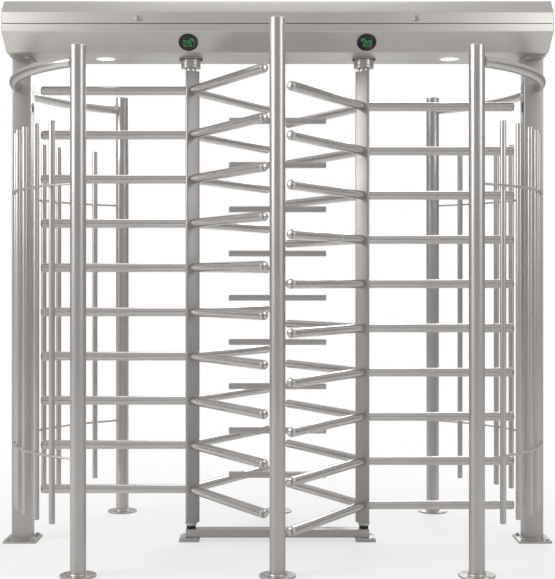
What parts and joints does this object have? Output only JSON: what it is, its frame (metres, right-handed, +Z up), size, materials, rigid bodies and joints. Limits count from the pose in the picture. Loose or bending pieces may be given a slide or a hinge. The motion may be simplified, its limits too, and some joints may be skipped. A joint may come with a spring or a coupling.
{
  "type": "turnstile",
  "caption": "Double full-height counting turnstile with two interleaved rotors, barred cages, side columns and a hinged-lid canopy.",
  "frame": {"origin": "on the floor, at the middle of the footprint, midway between the two rotor axes", "axes": "+X across the two lanes from the left rotor to the right one, +Y along the walking direction away from the display side, +Z up"},
  "size_m": [2.328, 1.418, 2.275],
  "materials": {
    "brushed_tube": "satin brushed stainless",
    "polished_tube": "fine polished stainless",
    "canopy_sheet": "long-grain brushed sheet",
    "black_plastic": "smooth black",
    "diffuser": "frosted white",
    "zinc_plate": "zinc plated"
  },
  "bodies": {
    "frame": {"canopy_tray": "canopy_sheet", "centre_comb_post": "brushed_tube", "controller_box": "black_plastic", "floor_beam": "brushed_tube", "front_centre_post": "brushed_tube", "front_left_cage": "brushed_tube", "front_left_post": "brushed_tube", "front_right_cage": "brushed_tube", "front_right_post": "brushed_tube", "left_display": "black_plastic", "left_downlight": "diffuser", "left_foot_bearing": "black_plastic", "left_side_column": "brushed_tube", "left_solenoid": "zinc_plate", "left_top_rail": "polished_tube", "left_upper_bearing": "brushed_tube", "rear_left_cage": "brushed_tube", "rear_left_post": "brushed_tube", "rear_right_cage": "brushed_tube", "rear_right_post": "brushed_tube", "right_display": "black_plastic", "right_downlight": "diffuser", "right_foot_bearing": "black_plastic", "right_side_column": "brushed_tube", "right_solenoid": "zinc_plate", "right_top_rail": "polished_tube", "right_upper_bearing": "brushed_tube"},
    "left_rotor": {"left_rotor_column": "brushed_tube", "left_arm_tier_01": "polished_tube", "left_arm_tier_02": "polished_tube", "left_arm_tier_03": "polished_tube", "left_arm_tier_04": "polished_tube", "left_arm_tier_05": "polished_tube", "left_arm_tier_06": "polished_tube", "left_arm_tier_07": "polished_tube", "left_arm_tier_08": "polished_tube", "left_arm_tier_09": "polished_tube", "left_arm_tier_10": "polished_tube", "left_rotor_shaft": "brushed_tube", "left_index_disc": "zinc_plate", "left_rotor_foot": "brushed_tube"},
    "left_bolt": {"left_lock_bolt": "polished_tube"},
    "right_rotor": {"right_rotor_column": "brushed_tube", "right_arm_tier_01": "polished_tube", "right_arm_tier_02": "polished_tube", "right_arm_tier_03": "polished_tube", "right_arm_tier_04": "polished_tube", "right_arm_tier_05": "polished_tube", "right_arm_tier_06": "polished_tube", "right_arm_tier_07": "polished_tube", "right_arm_tier_08": "polished_tube", "right_arm_tier_09": "polished_tube", "right_arm_tier_10": "polished_tube", "right_rotor_shaft": "brushed_tube", "right_index_disc": "zinc_plate", "right_rotor_foot": "brushed_tube"},
    "right_bolt": {"right_lock_bolt": "polished_tube"},
    "cover": {"canopy_cover": "canopy_sheet"},
    "left_lock": {"left_cover_lock": "polished_tube"},
    "right_lock": {"right_cover_lock": "polished_tube"}
  },
  "joints": [
    {"name": "left_rotor_turn", "type": "hinge", "parent": "frame", "child": "left_rotor", "pos_m": [-0.371, 0, 0], "axis": [0, 0, 1], "continuous": true},
    {"name": "right_rotor_turn", "type": "hinge", "parent": "frame", "child": "right_rotor", "pos_m": [0.371, 0, 0], "axis": [0, 0, 1], "continuous": true},
    {"name": "left_bolt_slide", "type": "slide", "parent": "frame", "child": "left_bolt", "axis": [-1, 0, 0], "range_m": [0, 0.012], "stiffness_N_per_m": 200},
    {"name": "right_bolt_slide", "type": "slide", "parent": "frame", "child": "right_bolt", "axis": [1, 0, 0], "range_m": [0, 0.012], "stiffness_N_per_m": 200},
    {"name": "cover_hinge", "type": "hinge", "parent": "frame", "child": "cover", "pos_m": [0, 0.226, 2.1705], "axis": [-1, 0, 0], "range_deg": [0, 70]},
    {"name": "left_lock_turn", "type": "hinge", "parent": "cover", "child": "left_lock", "pos_m": [-0.572, -0.226, 2.192], "axis": [0, -1, 0], "range_deg": [0, 90]},
    {"name": "right_lock_turn", "type": "hinge", "parent": "cover", "child": "right_lock", "pos_m": [0.572, -0.226, 2.192], "axis": [0, 1, 0], "range_deg": [0, 90]}
  ]
}
